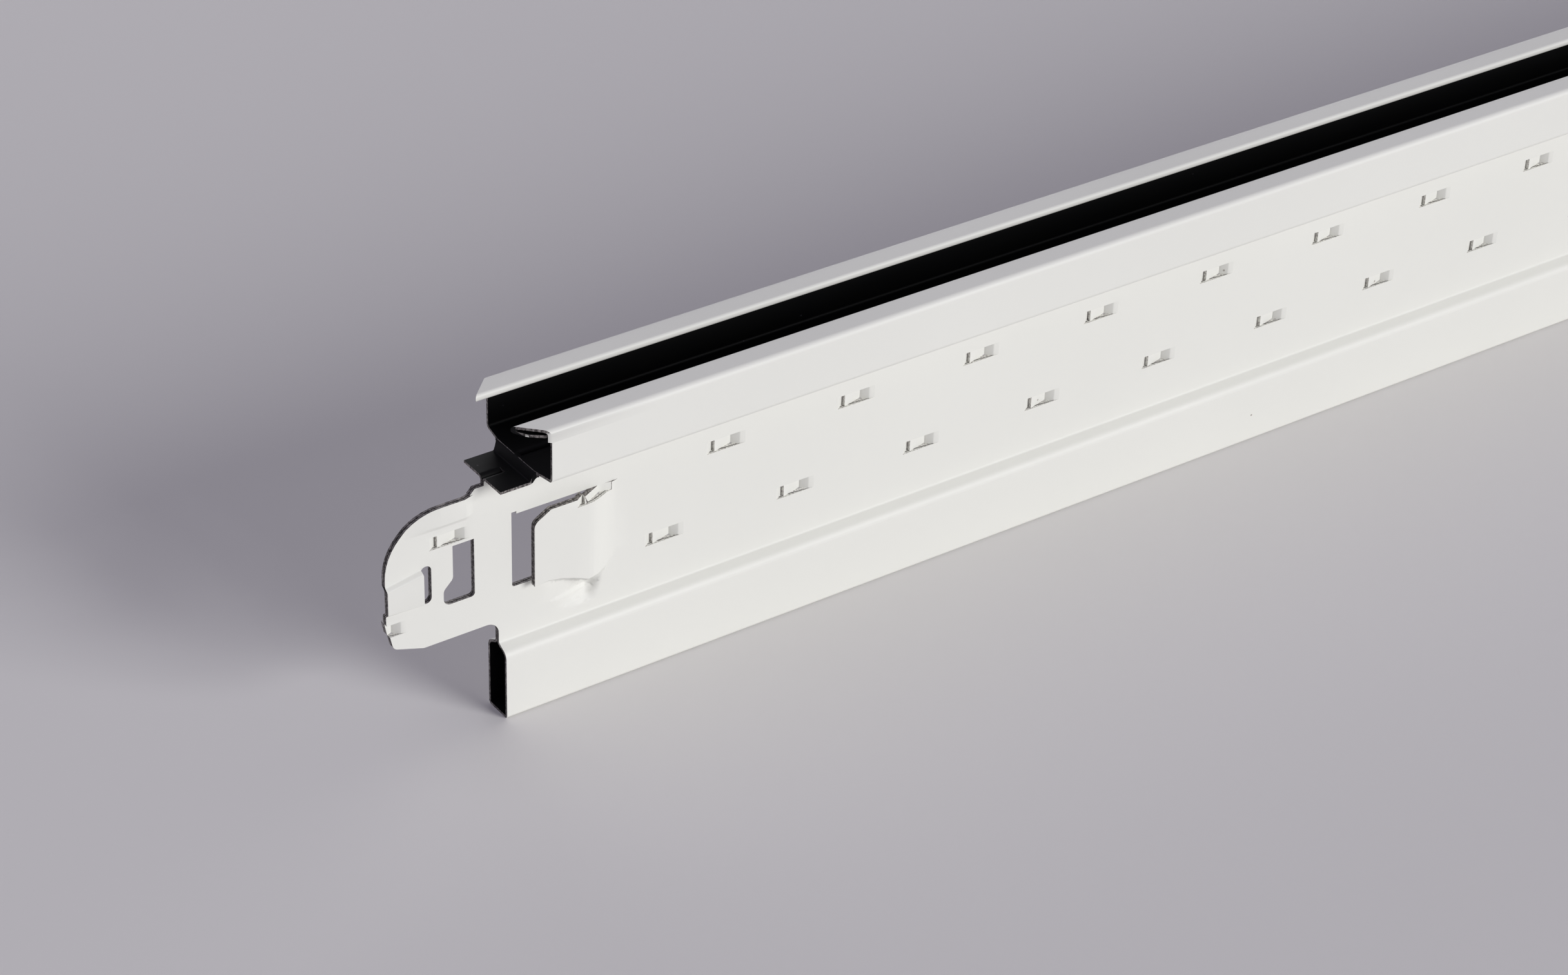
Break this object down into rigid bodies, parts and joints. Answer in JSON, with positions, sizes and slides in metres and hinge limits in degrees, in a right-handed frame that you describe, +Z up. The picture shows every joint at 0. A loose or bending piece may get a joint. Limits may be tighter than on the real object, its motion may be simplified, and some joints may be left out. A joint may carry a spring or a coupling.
{
  "type": "slotted cross tee",
  "caption": "Slotted cross tee of a suspended ceiling: folded sheet with a hemmed shadow channel, stitched double web, hollow bulb and snap-in end clips.",
  "frame": {"origin": "under the middle of the bulb, on the surface that the tee stands on", "axes": "+X along the tee, +Y across it, +Z up from the bulb to the slotted face"},
  "size_m": [0.623, 0.015, 0.044],
  "materials": {
    "white_coat": "satin white coil coat, with a black coat on the inside of the folds"
  },
  "bodies": {
    "root": {"cross_tee": "white_coat"}
  },
  "joints": []
}
